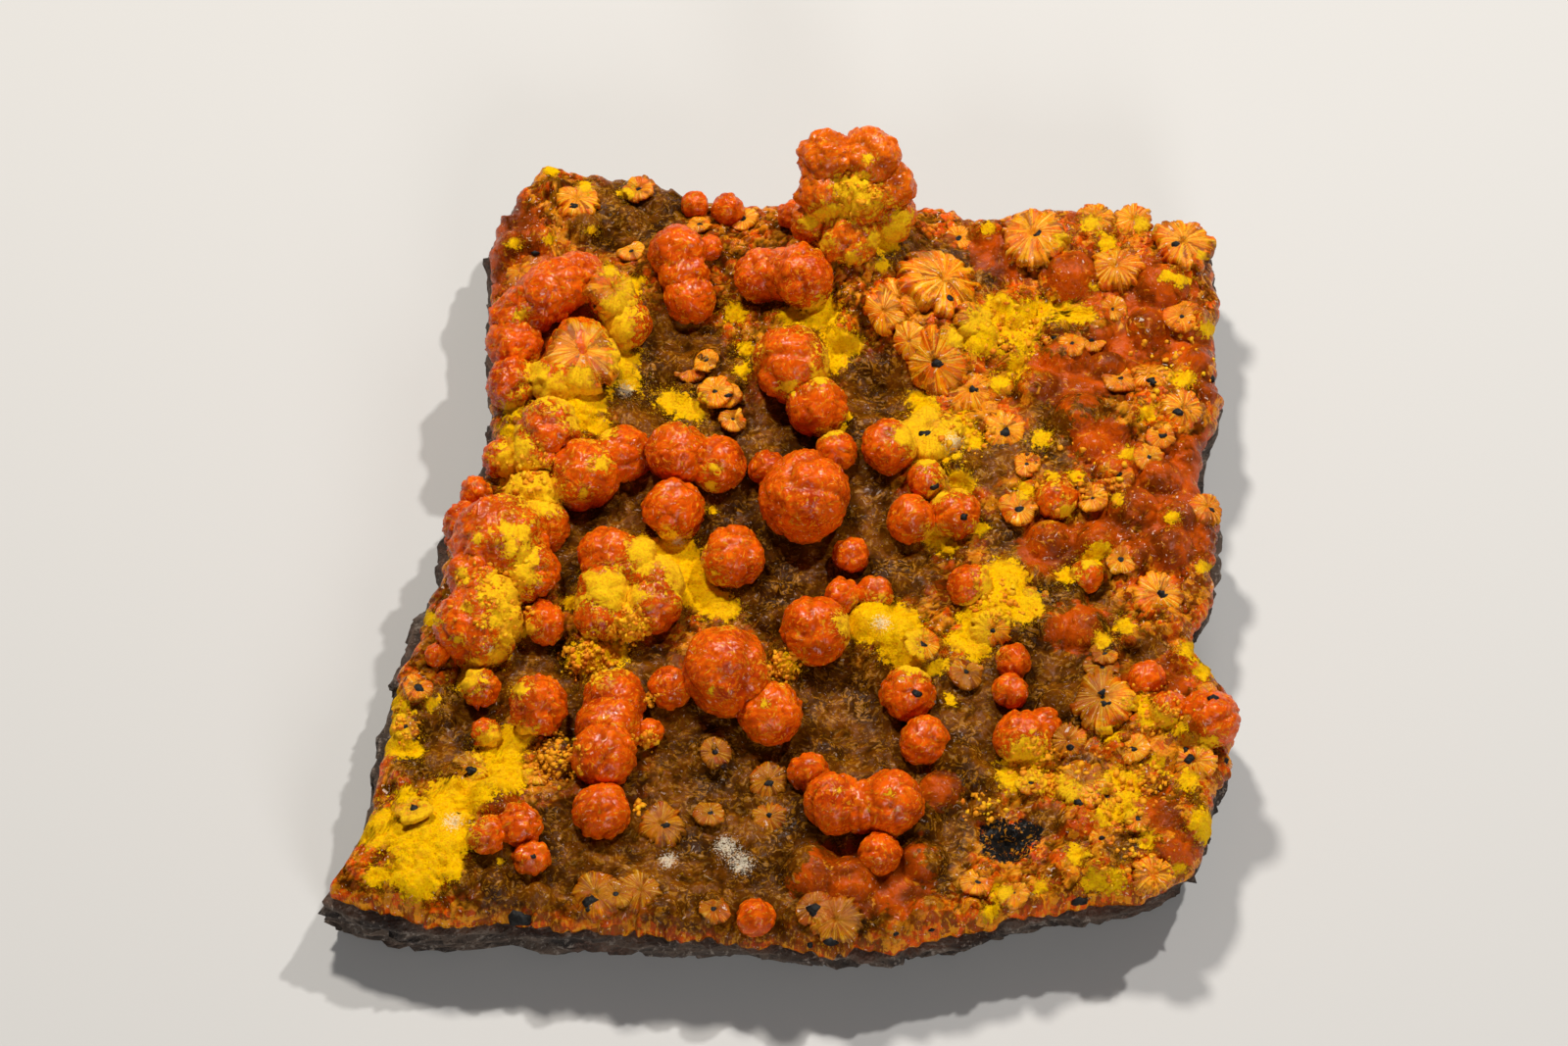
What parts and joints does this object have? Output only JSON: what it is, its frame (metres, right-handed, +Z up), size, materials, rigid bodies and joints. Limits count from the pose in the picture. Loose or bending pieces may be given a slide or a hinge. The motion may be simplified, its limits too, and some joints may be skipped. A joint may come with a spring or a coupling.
{
  "type": "francevillite mineral specimen on matrix",
  "caption": "Orange balls and bladed rosettes of a uranium mineral on a bumpy crust, grown over a thin slab of dark rock that lies flat.",
  "frame": {"origin": "on the floor under the middle of the slab's bounding box", "axes": "+Z up out of the crust, +Y towards the back edge with the tall cluster, +X to the right"},
  "size_m": [0.0402, 0.0415, 0.011],
  "materials": {
    "rock": "rough broken grey-brown rock",
    "francevillite": "waxy to pearly orange bladed balls and rosettes with matte yellow powder"
  },
  "bodies": {
    "root": {"rock_matrix": "rock", "francevillite_crust": "francevillite"}
  },
  "joints": []
}
